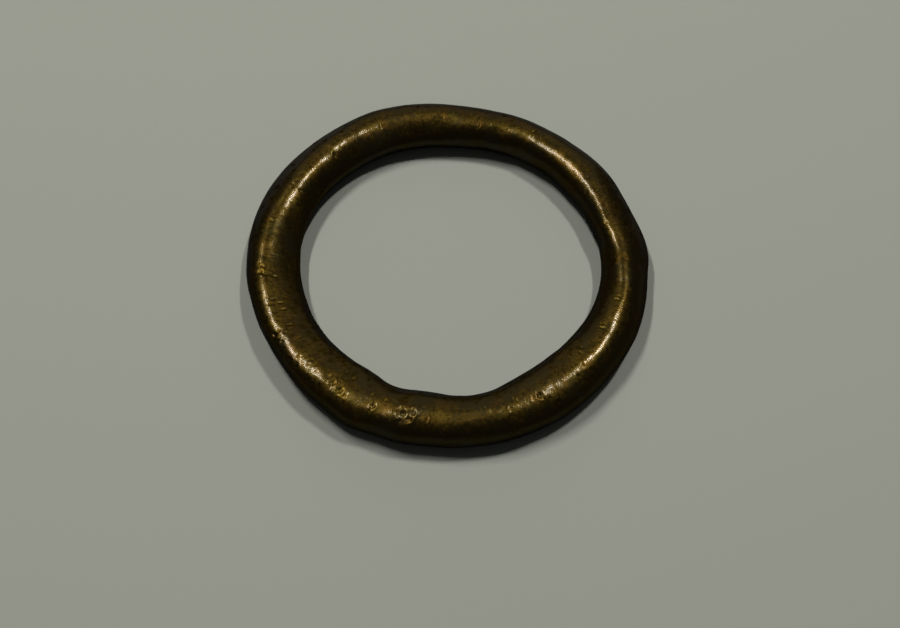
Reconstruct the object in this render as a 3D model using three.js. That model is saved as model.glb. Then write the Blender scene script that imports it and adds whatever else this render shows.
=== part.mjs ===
// A solid cast bronze ring, of the kind that keys, straps and cords are gathered on.
//
// It is one casting, closed all the way round, with no split and no joint: a band
// of rounded section that bends once around an open eye. As in hand-poured work, the
// band wanders a little off its true circle, swells and thins as it goes round, and
// carries its crown nearer the outside in some places and nearer the inside in others.
// Along one side and a short stretch of the other the crown is drawn up to a sharper
// crest. The underside is worn to a narrow level flat, which the ring rests on.
//
// Frame: millimetres, +Z up. The origin is at the middle of the ring's outline, on
// the surface that it lies on. Angles run round the ring in degrees, from +X
// towards +Y.

import * as THREE from 'three';

// Driving dimensions of the band, before its lumps.
const CENTRELINE_RADIUS = 15.2;
const HALF_WIDTH = 2.1;
const HALF_HEIGHT = 1.8; // the section is lower than it is wide
const WEAR_DEPTH = 0.1; // how much of the underside is worn away to the level flat

// Fineness of the facets.
const STEPS_AROUND = 120;
const STEPS_OF_SECTION = 24; // three of its points lie on the worn flat

// Where the centreline leaves its true circle, in degrees and millimetres: each
// wander is centred at an angle, fades out over its reach to both sides, and moves
// the band outwards where it is positive.
const WANDERS = [
  { at: 0, reach: 54, by: 0.27 },
  { at: 6, reach: 11, by: 0.14 },
  { at: 18, reach: 19, by: -0.14 },
  { at: 84, reach: 27, by: -0.27 }, // the flattened stretch of the far side
  { at: 143, reach: 83, by: 0.52 },
  { at: 203, reach: 50, by: -0.2 },
  { at: 252, reach: 17, by: 0.16 },
  { at: 262, reach: 10, by: -0.07 },
  { at: 282, reach: 31, by: 0.33 },
  { at: 294, reach: 12, by: -0.1 },
  { at: 333, reach: 26, by: 0.07 },
];

// Where the band is thicker or thinner, described in the same way. Each value
// changes the half width.
const SWELLS = [
  { at: 20, reach: 17, by: -0.06 },
  { at: 34, reach: 13, by: 0.1 },
  { at: 62, reach: 50, by: -0.18 }, // the thinnest stretch
  { at: 118, reach: 50, by: 0.24 },
  { at: 158, reach: 25, by: 0.1 },
  { at: 176, reach: 65, by: 0.25 },
  { at: 236, reach: 30, by: 0.38 }, // the widest stretch
  { at: 241, reach: 9, by: 0.12 },
  { at: 250, reach: 8, by: -0.1 },
  { at: 262, reach: 17, by: 0.24 },
  { at: 306, reach: 38, by: 0.4 },
  { at: 333, reach: 20, by: 0.08 },
  { at: 352, reach: 17, by: -0.04 },
];

// Where the band is higher or lower. Each value changes the half height.
const HEIGHTS = [
  { at: 270, reach: 80, by: -0.1 },
];

// Where the crown sits off the band's middle, in half widths, outwards positive.
const LEANS = [
  { at: 10, reach: 20, by: -0.2 },
  { at: 26, reach: 56, by: -0.2 },
  { at: 112, reach: 36, by: 0.16 },
  { at: 146, reach: 30, by: -0.1 },
  { at: 203, reach: 56, by: 0.42 },
  { at: 262, reach: 48, by: 0.15 },
  { at: 325, reach: 35, by: 0.08 },
];

// Where the band rises to a sharper crest instead of a round crown: 0 is round, and 1
// takes all the fullness out of its shoulders.
const CRESTS = [
  { at: 158, reach: 80, by: 0.5 },
  { at: 350, reach: 45, by: 0.4 },
];

const FULL_TURN = 360;

// How much one lump adds at an angle: all of it at its middle, nothing past its reach.
function lump(angle, { at, reach, by }) {
  const halfTurn = FULL_TURN / 2;
  const offset = THREE.MathUtils.euclideanModulo(angle - at + halfTurn, FULL_TURN) - halfTurn;
  const away = Math.min(Math.abs(offset) / reach, 1);
  return by * (1 + Math.cos(Math.PI * away)) / 2;
}

function withLumps(base, lumps, angle) {
  return lumps.reduce((sum, each) => sum + lump(angle, each), base);
}

// A point of the band's section, out from the centreline and up from the resting
// surface. The section turns from its outside (0), over its crown and its inside, to
// the underside, where it is cut off level.
function sectionPoint(halfWidth, halfHeight, lean, crest, turn) {
  const rise = Math.sin(turn);
  const upper = Math.max(rise, 0);
  const out = halfWidth * (Math.cos(turn) + lean * upper ** 2);
  const up = halfHeight * (1 + rise - crest * upper * (1 - upper ** 2)) - WEAR_DEPTH;
  return { out, up: Math.max(up, 0) };
}

// A torus whose points are moved onto the uneven band. Its first texture coordinate
// tells how far round the ring a point is, and its second how far round the section.
function bandGeometry() {
  const geometry = new THREE.TorusGeometry(
    CENTRELINE_RADIUS, HALF_WIDTH, STEPS_OF_SECTION, STEPS_AROUND,
  );
  const { position, uv } = geometry.attributes;
  for (let i = 0; i < position.count; i += 1) {
    const angle = uv.getX(i) * FULL_TURN;
    const halfWidth = withLumps(HALF_WIDTH, SWELLS, angle);
    const halfHeight = withLumps(HALF_HEIGHT, HEIGHTS, angle);
    const lean = withLumps(0, LEANS, angle);
    const crest = withLumps(0, CRESTS, angle);
    const turn = uv.getY(i) * 2 * Math.PI;
    const { out, up } = sectionPoint(halfWidth, halfHeight, lean, crest, turn);
    const radius = withLumps(CENTRELINE_RADIUS, WANDERS, angle) + out;
    const bearing = THREE.MathUtils.degToRad(angle);
    position.setXYZ(i, radius * Math.cos(bearing), radius * Math.sin(bearing), up);
  }
  return geometry;
}

// Moves a geometry sideways so that its outline's middle is over the origin.
function centreOutline(geometry) {
  geometry.computeBoundingBox();
  const middle = geometry.boundingBox.getCenter(new THREE.Vector3());
  geometry.translate(-middle.x, -middle.y, 0);
}

function bronze() {
  return new THREE.MeshStandardMaterial({
    color: 0x5d4a20, // brown patina with bare bronze on the high spots
    metalness: 0.85,
    roughness: 0.42,
  });
}

function makeRing() {
  const geometry = bandGeometry();
  centreOutline(geometry);
  geometry.computeVertexNormals();
  const mesh = new THREE.Mesh(geometry, bronze());
  mesh.name = 'ring';
  return mesh;
}

const castRing = new THREE.Group();
castRing.add(makeRing());

export default castRing;
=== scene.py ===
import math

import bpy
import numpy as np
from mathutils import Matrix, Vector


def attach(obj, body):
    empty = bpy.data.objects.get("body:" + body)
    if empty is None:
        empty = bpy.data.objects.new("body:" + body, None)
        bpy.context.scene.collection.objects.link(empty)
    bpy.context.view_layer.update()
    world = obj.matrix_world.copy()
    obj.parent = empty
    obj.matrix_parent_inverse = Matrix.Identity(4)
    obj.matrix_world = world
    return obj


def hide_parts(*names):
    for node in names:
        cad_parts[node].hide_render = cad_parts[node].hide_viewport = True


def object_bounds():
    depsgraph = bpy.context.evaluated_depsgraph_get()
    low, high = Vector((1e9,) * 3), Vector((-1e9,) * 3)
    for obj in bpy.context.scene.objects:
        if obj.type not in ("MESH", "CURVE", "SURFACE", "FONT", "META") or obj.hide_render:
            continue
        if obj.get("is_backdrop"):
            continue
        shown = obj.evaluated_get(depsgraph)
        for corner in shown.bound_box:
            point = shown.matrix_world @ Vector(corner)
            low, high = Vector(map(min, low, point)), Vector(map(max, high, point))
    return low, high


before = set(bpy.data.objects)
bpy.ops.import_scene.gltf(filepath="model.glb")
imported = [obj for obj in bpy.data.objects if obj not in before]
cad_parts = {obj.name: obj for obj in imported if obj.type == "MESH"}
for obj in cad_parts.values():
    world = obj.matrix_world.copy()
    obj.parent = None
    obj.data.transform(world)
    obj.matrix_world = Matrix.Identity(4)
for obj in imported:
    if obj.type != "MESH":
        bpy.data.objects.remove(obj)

# The looks of a solid cast bronze ring: one closed band with a worn brown patina,
# casting pits and pores, lying on a pale table top under soft studio light.
# Lengths are in millimetres, and angles in degrees, unless a comment says otherwise.

MM = 0.001  # scene units are metres
FULL_TURN = 360.0
CAD_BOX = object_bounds()

# ---------------------------------------------------------------- the band's shape

# Driving dimensions of the band, before its lumps, as in the CAD model.
CENTRELINE_RADIUS = 15.2
HALF_WIDTH = 2.1
HALF_HEIGHT = 1.8
WEAR_DEPTH = 0.1  # how much of the underside is worn away to the level flat

# Fineness of the mesh: about 0.09 mm around the ring and 0.14 mm across the band.
STEPS_AROUND = 1080
STEPS_OF_SECTION = 90

# The mesh is a grid. Its rows stand at these angles around the ring, from +X towards
# +Y, and its columns at these turns round the section, from its outside (0) over the
# crown (90) to its inside (180).
ANGLES = np.arange(STEPS_AROUND)[:, None] * FULL_TURN / STEPS_AROUND
TURNS = np.arange(STEPS_OF_SECTION)[None] * FULL_TURN / STEPS_OF_SECTION

# Lumps of the casting, as in the CAD model. Each is (at, reach, by): it is centred at an
# angle around the ring, and fades out over its reach to both sides.

# Where the centreline leaves its true circle, outwards positive.
WANDERS = [
    (0, 54, 0.27),
    (6, 11, 0.14),
    (18, 19, -0.14),
    (84, 27, -0.27),
    (143, 83, 0.52),
    (203, 50, -0.2),
    (252, 17, 0.16),
    (262, 10, -0.07),
    (282, 31, 0.33),
    (294, 12, -0.1),
    (333, 26, 0.07),
]
# Where the band is thicker or thinner: changes of its half width.
SWELLS = [
    (20, 17, -0.06),
    (34, 13, 0.1),
    (62, 50, -0.18),
    (118, 50, 0.24),
    (158, 25, 0.1),
    (176, 65, 0.25),
    (236, 30, 0.38),
    (241, 9, 0.12),
    (250, 8, -0.1),
    (262, 17, 0.24),
    (306, 38, 0.4),
    (333, 20, 0.08),
    (352, 17, -0.04),
]
# Where the band is higher or lower: changes of its half height.
HEIGHTS = [
    (270, 80, -0.1),
]
# Where the crown sits off the band's middle, in half widths, outwards positive.
LEANS = [
    (10, 20, -0.2),
    (26, 56, -0.2),
    (112, 36, 0.16),
    (146, 30, -0.1),
    (203, 56, 0.42),
    (262, 48, 0.15),
    (325, 35, 0.08),
]
# Where the band rises to a sharper crest: 0 is a round crown, and 1 takes all the
# fullness out of its shoulders.
CRESTS = [
    (158, 80, 0.5),
    (350, 45, 0.4),
]

# A bevel hammered along the upper inside of the band: the turn that it faces, and how
# deep it is cut, as lumps.
BEVEL_FACING = 150
BEVELS = [
    (218, 36, 0.16),
]


def angle_from(start, angle):
    """The angle from a start, the short way round: -180 to 180."""
    return (angle - start + FULL_TURN / 2) % FULL_TURN - FULL_TURN / 2


def with_lumps(base, lumps, angle=ANGLES):
    """base plus every lump at these angles: all of a lump at its middle, none past its
    reach."""
    total = np.full_like(angle, base, dtype=float)
    for at, reach, by in lumps:
        away = np.minimum(np.abs(angle_from(at, angle)) / reach, 1)
        total += by * (1 + np.cos(np.pi * away)) / 2
    return total


def round_sections():
    """How far out and up the points of the band's sections are from their middles."""
    turn = np.radians(TURNS)
    rise = np.sin(turn)
    upper = np.maximum(rise, 0)
    lean = with_lumps(0, LEANS)
    crest = with_lumps(0, CRESTS)
    out = with_lumps(HALF_WIDTH, SWELLS) * (np.cos(turn) + lean * upper**2)
    up = with_lumps(HALF_HEIGHT, HEIGHTS) * (rise - crest * upper * (1 - upper**2))
    return out, up


def bevelled_sections():
    """The same sections, cut off straight where the bevel runs."""
    out, up = round_sections()
    facing = math.radians(BEVEL_FACING)
    height = out * math.cos(facing) + up * math.sin(facing)
    cut = height - height.max(1, keepdims=True) + with_lumps(0, BEVELS)
    cut = np.maximum(cut, 0)
    return out - cut * math.cos(facing), up - cut * math.sin(facing)


def band_points():
    """The band's grid of points, [around, section, xyz], about its circle's centre."""
    out, up = bevelled_sections()
    radius = with_lumps(CENTRELINE_RADIUS, WANDERS) + out
    up = up + with_lumps(HALF_HEIGHT, HEIGHTS) - WEAR_DEPTH
    bearing = np.radians(ANGLES)
    return np.stack([radius * np.cos(bearing), radius * np.sin(bearing), up], -1)


# ---------------------------------------------------------------- pits, pores and skin

# Casting pits: (at, turn, radius). Depths are in a pit's own radii.
PITS = [
    (257, 84, 0.3),
    (259, 74, 0.26),
    (260, 88, 0.22),
    (264, 77, 0.18),
    (251, 104, 0.2),
    (248, 82, 0.24),
    (237, 81, 0.3),
    (234, 87, 0.26),
    (232, 94, 0.14),
    (222, 62, 0.2),
    (219, 59, 0.32),
    (212, 65, 0.22),
    (210, 68, 0.32),
    (205, 62, 0.2),
    (190, 112, 0.2),
    (189, 97, 0.26),
    (188, 86, 0.28),
    (186, 90, 0.2),
    (185, 80, 0.16),
    (169, 92, 0.18),
    (154, 108, 0.18),
    (135, 114, 0.22),
    (91, 142, 0.15),
    (356, 116, 0.22),
    (334, 16, 0.3),
    (322, 12, 0.3),
    (298, 80, 0.3),
    (296, 83, 0.16),
    (291, 94, 0.15),
]
PIT_DEPTH = 0.3
CRATER = (257.5, 80, 0.85)  # one wide shallow pit, with no dull mark round it
CRATER_DEPTH = 0.11

# Fine pores: as dense as these lumps say, where 1 is the ordinary density.
PORE_DENSITY = [
    (150, 45, 2),
    (214, 36, 9),
    (250, 30, 1.5),
    (310, 40, 3),
]
PORE_COUNT = 800
PORE_SEED = 11
PORE_LEAST_RADIUS = 0.08
PORE_RADIUS_RANGE = 0.1
PORE_LAST_TURN = 200  # they reach from the band's outside to a little under its inside
PORE_DEPTH = 0.38

# The shape of every pit: a bowl whose outline leaves its circle in three lobes and in
# five, with a low ridge round it.
THREE_LOBES = 0.14  # shares of the pit's radius
FIVE_LOBES = 0.1
BOWL_POWER = 1.5  # the higher, the more the bowl flattens out towards its edge
RIM_RADIUS = 1.05  # where the ridge runs and how wide it is, in the pit's radii
RIM_WIDTH = 0.25
RIM_HEIGHT = 0.22  # a share of the pit's depth
RIM_TILT = 0.8  # how much of that height one side gains and the other loses

# Dullness in and round a pit falls in a straight line, held to 0 to 1: it is full up
# to about 0.9 of the pit's radius, and gone by 1.7.
DULL_AT_MIDDLE = 2.2
DULL_FALL = 1.3

# The uneven skin, in layers of noise: (seed, height, humps around, humps across).
SKIN = [
    (3, 0.02, 2.5, 1.6),
    (4, 0.004, 0.6, 0.5),
]
SHORT_HUMP_FADE = 2  # how fast humps that are shorter than a layer's own fade out

WEAR_AND_TOP_LIGHT_START = -0.1  # the upward part of a normal at which wear and painted top light begin
HOLLOW_DEPTH = 0.06  # a pit this deep is all hollow


def pit_relief(at, turn, radius, depth):
    """One pit over the whole band: how far it sinks or raises each point, in mm, and how
    dull it leaves each point, from 0 to 1. Its depth is in its radii."""
    along = np.radians(angle_from(at, ANGLES)) * CENTRELINE_RADIUS
    across = np.radians(angle_from(turn, TURNS)) * HALF_WIDTH
    heading = np.arctan2(across, along)
    lobes = THREE_LOBES * np.sin(3 * heading + at) + FIVE_LOBES * np.sin(5 * heading + turn)
    away = np.hypot(along, across) / (radius * (1 + lobes))
    bowl = np.maximum(1 - away**2, 0) ** BOWL_POWER
    rim = RIM_HEIGHT * (1 + RIM_TILT * np.sin(heading + at))
    rim = rim * np.exp(-(((away - RIM_RADIUS) / RIM_WIDTH) ** 2))
    dullness = np.clip(DULL_AT_MIDDLE - DULL_FALL * away, 0, 1)
    return radius * depth * (rim - bowl), dullness


def scattered_pores():
    """The fine pores as (at, turn, radius), most of them small."""
    chance = np.random.default_rng(PORE_SEED)
    degrees = np.arange(int(FULL_TURN))
    density = with_lumps(1, PORE_DENSITY, degrees)
    for at in chance.choice(degrees, PORE_COUNT, p=density / density.sum()):
        radius = PORE_LEAST_RADIUS + PORE_RADIUS_RANGE * chance.random() ** 2
        turn = chance.uniform(0, PORE_LAST_TURN)
        yield at + chance.random(), turn, radius


def pitted_surface():
    """How far each point of the band is sunk or raised by its casting pits, in mm, and
    how dull the pits leave it, from 0 to 1."""
    surface, _ = pit_relief(*CRATER, CRATER_DEPTH)
    dull = np.zeros_like(surface)
    pits = [(*place, PIT_DEPTH) for place in PITS]
    pores = [(*place, PORE_DEPTH) for place in scattered_pores()]
    for hollow in pits + pores:
        relief, dullness = pit_relief(*hollow)
        surface += relief
        dull = np.maximum(dull, dullness)
    return surface, dull


def smooth_noise(seed, around, across):
    """Noise over the band that repeats both ways, with humps about that many mm long
    around the ring and across it, scaled to a spread of 1."""
    grain = np.random.default_rng(seed).standard_normal((STEPS_AROUND, STEPS_OF_SECTION))
    humps_around = 2 * np.pi * CENTRELINE_RADIUS / around
    humps_across = 2 * np.pi * HALF_WIDTH / across
    waves_around = np.fft.fftfreq(STEPS_AROUND, 1 / STEPS_AROUND)[:, None] / humps_around
    waves_across = np.fft.fftfreq(STEPS_OF_SECTION, 1 / STEPS_OF_SECTION)[None] / humps_across
    keep = np.exp(-(waves_around**2 + waves_across**2) * SHORT_HUMP_FADE)
    keep[0, 0] = 0
    field = np.fft.ifft2(np.fft.fft2(grain) * keep).real
    return field / field.std()


def uneven_skin():
    """How far the skin stands proud of the band or back from it, in mm."""
    return sum(height * smooth_noise(seed, *humps) for seed, height, *humps in SKIN)


# ---------------------------------------------------------------- the ring's mesh

def normals_of(points):
    """Outward unit normals of a closed grid of points."""
    around = np.roll(points, -1, 0) - np.roll(points, 1, 0)
    across = np.roll(points, -1, 1) - np.roll(points, 1, 1)
    normal = np.cross(around, across)
    return normal / np.linalg.norm(normal, axis=-1, keepdims=True)


def grid_mesh(name, points):
    """A closed mesh of quads over a grid that joins up both ways."""
    rows, columns = points.shape[:2]
    index = np.arange(rows * columns).reshape(rows, columns)
    ahead = np.roll(index, -1, 0)
    quads = np.stack([index, ahead, np.roll(ahead, -1, 1), np.roll(index, -1, 1)], -1)
    mesh = bpy.data.meshes.new(name)
    mesh.from_pydata(points.reshape(-1, 3) * MM, [], quads.reshape(-1, 4).tolist())
    mesh.shade_smooth()
    return mesh


def paint(mesh, name, values):
    """Stores one number per point of the mesh for its material to read."""
    layer = mesh.attributes.new(name, "FLOAT", "POINT")
    layer.data.foreach_set("value", values.astype(np.float32).ravel())


def make_ring():
    """The ring, level on the table and with its outline's middle over the origin."""
    points = band_points()
    normals = normals_of(points)
    pits, dull = pitted_surface()
    points += normals * (uneven_skin() + pits)[..., None]
    points[..., 2] = np.maximum(points[..., 2], 0)
    low, high = points.min((0, 1)), points.max((0, 1))
    points[..., :2] -= ((low + high) / 2)[:2]
    mesh = grid_mesh("cast_ring", points)
    # How far each normal faces up: it paints wear, and also painted top light, which lightens
    # the crown and darkens the flanks.
    facing_up = (normals[..., 2] - WEAR_AND_TOP_LIGHT_START) / (1 - WEAR_AND_TOP_LIGHT_START)
    paint(mesh, "wear_and_painted_top_light", np.clip(facing_up, 0, 1))
    paint(mesh, "hollow", np.clip(-pits / HOLLOW_DEPTH, 0, 1))
    paint(mesh, "dull", dull)
    mesh.materials.append(bronze_material())
    ring = bpy.data.objects.new("cast_ring", mesh)
    bpy.context.collection.objects.link(ring)
    return ring


# ---------------------------------------------------------------- materials

MIX_FIRST, MIX_SECOND, MIX_RESULT = 6, 7, 2  # a mix node's sockets for colours

# Colours of the bronze, from thick patina to rubbed metal.
# Where the band faces up, the light end also paints light on the crown, and the dark end
# paints shade on the flanks.
PATINA = [
    (0.0, (0.033, 0.0295, 0.019)),
    (0.35, (0.034, 0.027, 0.011)),
    (0.65, (0.031, 0.0205, 0.0035)),
    (1.0, (0.052, 0.034, 0.005)),
]
# Tinted patches over it: their size, the noise at which one starts and is full, how
# strong it is at most, and its colours on thick patina and on rubbed metal.
PATCHES = {
    "greenish": (1.6, (0.5, 0.7), 0.35, (0.022, 0.022, 0.013, 1), (0.045, 0.037, 0.003, 1)),
    "reddish": (1.1, (0.5, 0.72), 0.6, (0.022, 0.0135, 0.006, 1), (0.058, 0.030, 0.005, 1)),
}

# How far the patina is rubbed off: more where the band faces up, which is partly wear and
# partly painted top light, more or less by blotches and by speckles, and less in hollows.
RUBBED_AND_LIT_BY_FACING_UP = 0.75
RUBBED_BY_BLOTCHES = 0.32
RUBBED_BY_SPECKLE = 0.3
KEPT_IN_HOLLOWS = 0.2
BLOTCH_SIZE = 2.2
MIDDLE_OF_NOISE = (0.25, 0.75)  # where nearly all of a noise's values lie

# The fine grain of the casting, which speckles the patina and roughens the gloss.
GRAIN_SIZE = 0.3
GRAIN_ROUGHNESS = 0.7
SPECKLE_DETAIL = 4.0
BUMP_DETAIL = 5.0
BUMP_DEPTH = 0.012

# The crown is polished by handling, but less so in and round pits. The polish is a
# clear coat over gloss that the grain makes uneven.
POLISH_LOST_WHEN_DULL = 0.4
POLISHED_BY_FACING_UP = (0.65, 1.0)  # the up-facing share at which polish starts and is full
POLISH = 0.32  # the coat's weight where the polish is full
GRAIN_OF_GLOSS = (0.3, 0.7)  # the grain's values that bring the roughness from low to high
ROUGHNESS = (0.23, 0.43)
EVEN_FINISH = {
    "Metallic": 0.9,
    "Specular IOR Level": 0.2,
    "Specular Tint": (0.2, 0.2, 0.2, 1),
    "Coat Roughness": 0.1,
}

TABLE_FINISH = {
    "Base Color": (0.29, 0.316, 0.29, 1),
    "Roughness": 0.7,
}


def new_material(name, finish):
    """A material, and its shader with the sockets that are even all over set."""
    material = bpy.data.materials.new(name)
    material.use_nodes = True
    shader = material.node_tree.nodes["Principled BSDF"]
    for socket, value in finish.items():
        shader.inputs[socket].default_value = value
    return material, shader


class Recipe:
    """Short ways of adding nodes to one material."""

    def __init__(self, material):
        self.nodes = material.node_tree.nodes
        self.links = material.node_tree.links
        self.place = self.nodes.new("ShaderNodeTexCoord").outputs["Object"]

    def put(self, value, socket):
        """Links a socket to another, or sets it to a plain number or colour."""
        if isinstance(value, bpy.types.NodeSocket):
            self.links.new(value, socket)
        else:
            socket.default_value = value

    def noise(self, size, detail=3.0, roughness=0.55):
        """Cloudy noise from 0 to 1 with humps about `size` mm wide."""
        node = self.nodes.new("ShaderNodeTexNoise")
        node.inputs["Scale"].default_value = 1 / (size * MM)
        node.inputs["Detail"].default_value = detail
        node.inputs["Roughness"].default_value = roughness
        self.links.new(self.place, node.inputs["Vector"])
        return node.outputs["Fac"]

    def attribute(self, name):
        """The numbers that were painted on the mesh under this name."""
        node = self.nodes.new("ShaderNodeAttribute")
        node.attribute_name = name
        return node.outputs["Fac"]

    def math(self, operation, first, second):
        """A sum, difference or product of two values."""
        node = self.nodes.new("ShaderNodeMath")
        node.operation = operation
        self.put(first, node.inputs[0])
        self.put(second, node.inputs[1])
        return node.outputs["Value"]

    def remap(self, value, span, new_span):
        """The value brought from one span to another, and held inside it."""
        node = self.nodes.new("ShaderNodeMapRange")
        self.links.new(value, node.inputs["Value"])
        node.inputs["From Min"].default_value = span[0]
        node.inputs["From Max"].default_value = span[1]
        node.inputs["To Min"].default_value = new_span[0]
        node.inputs["To Max"].default_value = new_span[1]
        return node.outputs["Result"]

    def ramp(self, value, stops):
        """A colour from a row of stops, each (position, colour)."""
        node = self.nodes.new("ShaderNodeValToRGB")
        elements = node.color_ramp.elements
        while len(elements) < len(stops):
            elements.new(0.5)
        for element, (position, colour) in zip(elements, stops):
            element.position = position
            element.color = (*colour, 1)
        self.links.new(value, node.inputs["Fac"])
        return node.outputs["Color"]

    def mix(self, share, first, second):
        """The first colour with a share of the second."""
        node = self.nodes.new("ShaderNodeMix")
        node.data_type = "RGBA"
        self.put(share, node.inputs["Factor"])
        self.put(first, node.inputs[MIX_FIRST])
        self.put(second, node.inputs[MIX_SECOND])
        return node.outputs[MIX_RESULT]

    def bump(self, height, depth):
        """A bump whose heights from 0 to 1 span `depth` mm."""
        node = self.nodes.new("ShaderNodeBump")
        node.inputs["Distance"].default_value = depth * MM
        self.links.new(height, node.inputs["Height"])
        return node.outputs["Normal"]


def rubbed_and_top_lit_patina(recipe, wear_and_painted_top_light, speckle):
    """How far the patina is rubbed off, about 0 to 1; where the band faces up this is partly
    painted top light.
    """
    blotches = recipe.noise(BLOTCH_SIZE)
    by_blotches = recipe.remap(
        blotches, MIDDLE_OF_NOISE, (-RUBBED_BY_BLOTCHES, RUBBED_BY_BLOTCHES))
    by_speckle = recipe.remap(
        speckle, MIDDLE_OF_NOISE, (-RUBBED_BY_SPECKLE, RUBBED_BY_SPECKLE))
    by_wear_and_top_light = recipe.math("MULTIPLY", wear_and_painted_top_light, RUBBED_AND_LIT_BY_FACING_UP)
    kept = recipe.math("MULTIPLY", recipe.attribute("hollow"), KEPT_IN_HOLLOWS)
    by_noise = recipe.math("ADD", by_blotches, by_speckle)
    return recipe.math("SUBTRACT", recipe.math("ADD", by_wear_and_top_light, by_noise), kept)


def bronze_colour(recipe, rubbed_and_top_lit):
    """The patina's colour, with its tinted patches."""
    colour = recipe.ramp(rubbed_and_top_lit, PATINA)
    for size, span, strength, on_patina, on_metal in PATCHES.values():
        share = recipe.remap(recipe.noise(size), span, (0.0, strength))
        tint = recipe.mix(rubbed_and_top_lit, on_patina, on_metal)
        colour = recipe.mix(share, colour, tint)
    return colour


def bronze_material():
    """Golden bronze on the crown, brown to black patina on the flanks and in hollows; the
    crown's gold is partly painted light and the flanks' dark partly painted shade.
    """
    material, shader = new_material("patinated_bronze", EVEN_FINISH)
    recipe = Recipe(material)
    wear_and_painted_top_light = recipe.attribute("wear_and_painted_top_light")
    speckle = recipe.noise(GRAIN_SIZE, SPECKLE_DETAIL, GRAIN_ROUGHNESS)
    rubbed_and_top_lit = rubbed_and_top_lit_patina(recipe, wear_and_painted_top_light, speckle)
    recipe.put(bronze_colour(recipe, rubbed_and_top_lit), shader.inputs["Base Color"])
    recipe.put(recipe.remap(speckle, GRAIN_OF_GLOSS, ROUGHNESS), shader.inputs["Roughness"])

    lost = recipe.math("MULTIPLY", recipe.attribute("dull"), POLISH_LOST_WHEN_DULL)
    polish = recipe.remap(recipe.math("SUBTRACT", wear_and_painted_top_light, lost), POLISHED_BY_FACING_UP, (0.0, POLISH))
    recipe.put(polish, shader.inputs["Coat Weight"])

    grain = recipe.noise(GRAIN_SIZE, BUMP_DETAIL, GRAIN_ROUGHNESS)
    normal = recipe.bump(grain, BUMP_DEPTH)
    recipe.put(normal, shader.inputs["Normal"])
    recipe.put(normal, shader.inputs["Coat Normal"])
    return material


# ---------------------------------------------------------------- stage, light, camera

TABLE_HALF_SIZE = 600

LAMP_COLOUR = (1, 0.95, 0.88)
BACK_COLOUR = (1, 0.86, 0.52)
WORLD_COLOUR = (0.055, 0.055, 0.052, 1)

LENS = 45.0  # on a sensor 36 mm wide
NEAREST_VIEW = 5  # nothing nearer to the camera than this is seen
VIEW_DISTANCE = 99.0
VIEW_ELEVATION = 57.3
RING_MIDDLE = (0.05, 0.27, 2.0)
AIM_POINT = (0.21, -5.45, 2.0)  # where the camera looks, a little nearer than that


def aim(thing, place, target):
    """Puts a light or camera at a place and turns it to look at the target."""
    thing.location = Vector(place) * MM
    direction = Vector(target) - Vector(place)
    thing.rotation_euler = direction.to_track_quat("-Z", "Y").to_euler()


def make_table():
    side = TABLE_HALF_SIZE * MM
    mesh = bpy.data.meshes.new("table_top")
    corners = [(-side, -side, 0), (side, -side, 0), (side, side, 0), (-side, side, 0)]
    mesh.from_pydata(corners, [], [(0, 1, 2, 3)])
    material, _ = new_material("table_top", TABLE_FINISH)
    mesh.materials.append(material)
    table = bpy.data.objects.new("table_top", mesh)
    bpy.context.collection.objects.link(table)
    table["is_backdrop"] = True


def soft_box(name, width, length, power, colour):
    """A rectangular lamp, still to be put in its place."""
    lamp = bpy.data.lights.new(name, "AREA")
    lamp.shape = "RECTANGLE"
    lamp.size = width * MM
    lamp.size_y = length * MM
    lamp.energy = power
    lamp.color = colour
    light = bpy.data.objects.new(name, lamp)
    bpy.context.collection.objects.link(light)
    return light


def strip_light(name, x, y_from, y_to, z, width, power):
    """A long narrow soft box that runs along Y and faces the ring."""
    light = soft_box(name, width, y_to - y_from, power, LAMP_COLOUR)
    light.location = Vector((x, (y_from + y_to) / 2, z)) * MM
    light.rotation_euler = (0, math.atan2(x, z), 0)


def back_light():
    """A large dim soft box beyond the ring that the upper faces of the band reflect."""
    light = soft_box("back_light", width=800, length=570, power=0.58, colour=BACK_COLOUR)
    light.visible_camera = False
    aim(light, place=(0, 600, 365), target=(0, 0, 365))


def make_lights():
    strip_light("left_light", x=-165, y_from=40, y_to=240, z=450, width=25, power=1.43)
    strip_light("right_light", x=160, y_from=106, y_to=182, z=450, width=25, power=1.05)
    back_light()
    world = bpy.data.worlds.new("studio")
    world.use_nodes = True
    world.node_tree.nodes["Background"].inputs["Color"].default_value = WORLD_COLOUR
    bpy.context.scene.world = world


def make_camera():
    """The camera, straight in front of the ring and looking down on it."""
    camera = bpy.data.objects.new("camera", bpy.data.cameras.new("camera"))
    camera.data.lens = LENS
    camera.data.clip_start = NEAREST_VIEW * MM
    bpy.context.collection.objects.link(camera)
    elevation = math.radians(VIEW_ELEVATION)
    back = Vector((0, -math.cos(elevation), math.sin(elevation)))
    place = Vector(RING_MIDDLE) + back * VIEW_DISTANCE
    place.x = AIM_POINT[0]
    aim(camera, place, AIM_POINT)
    bpy.context.scene.camera = camera


# ---------------------------------------------------------------- putting it together

ring = make_ring()
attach(ring, "root")
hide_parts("ring")
make_table()
make_lights()
make_camera()
bpy.context.scene.view_settings.view_transform = "Standard"

boxes = {"cad": CAD_BOX, "visual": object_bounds()}
{name: [list(corner) for corner in box] for name, box in boxes.items()}
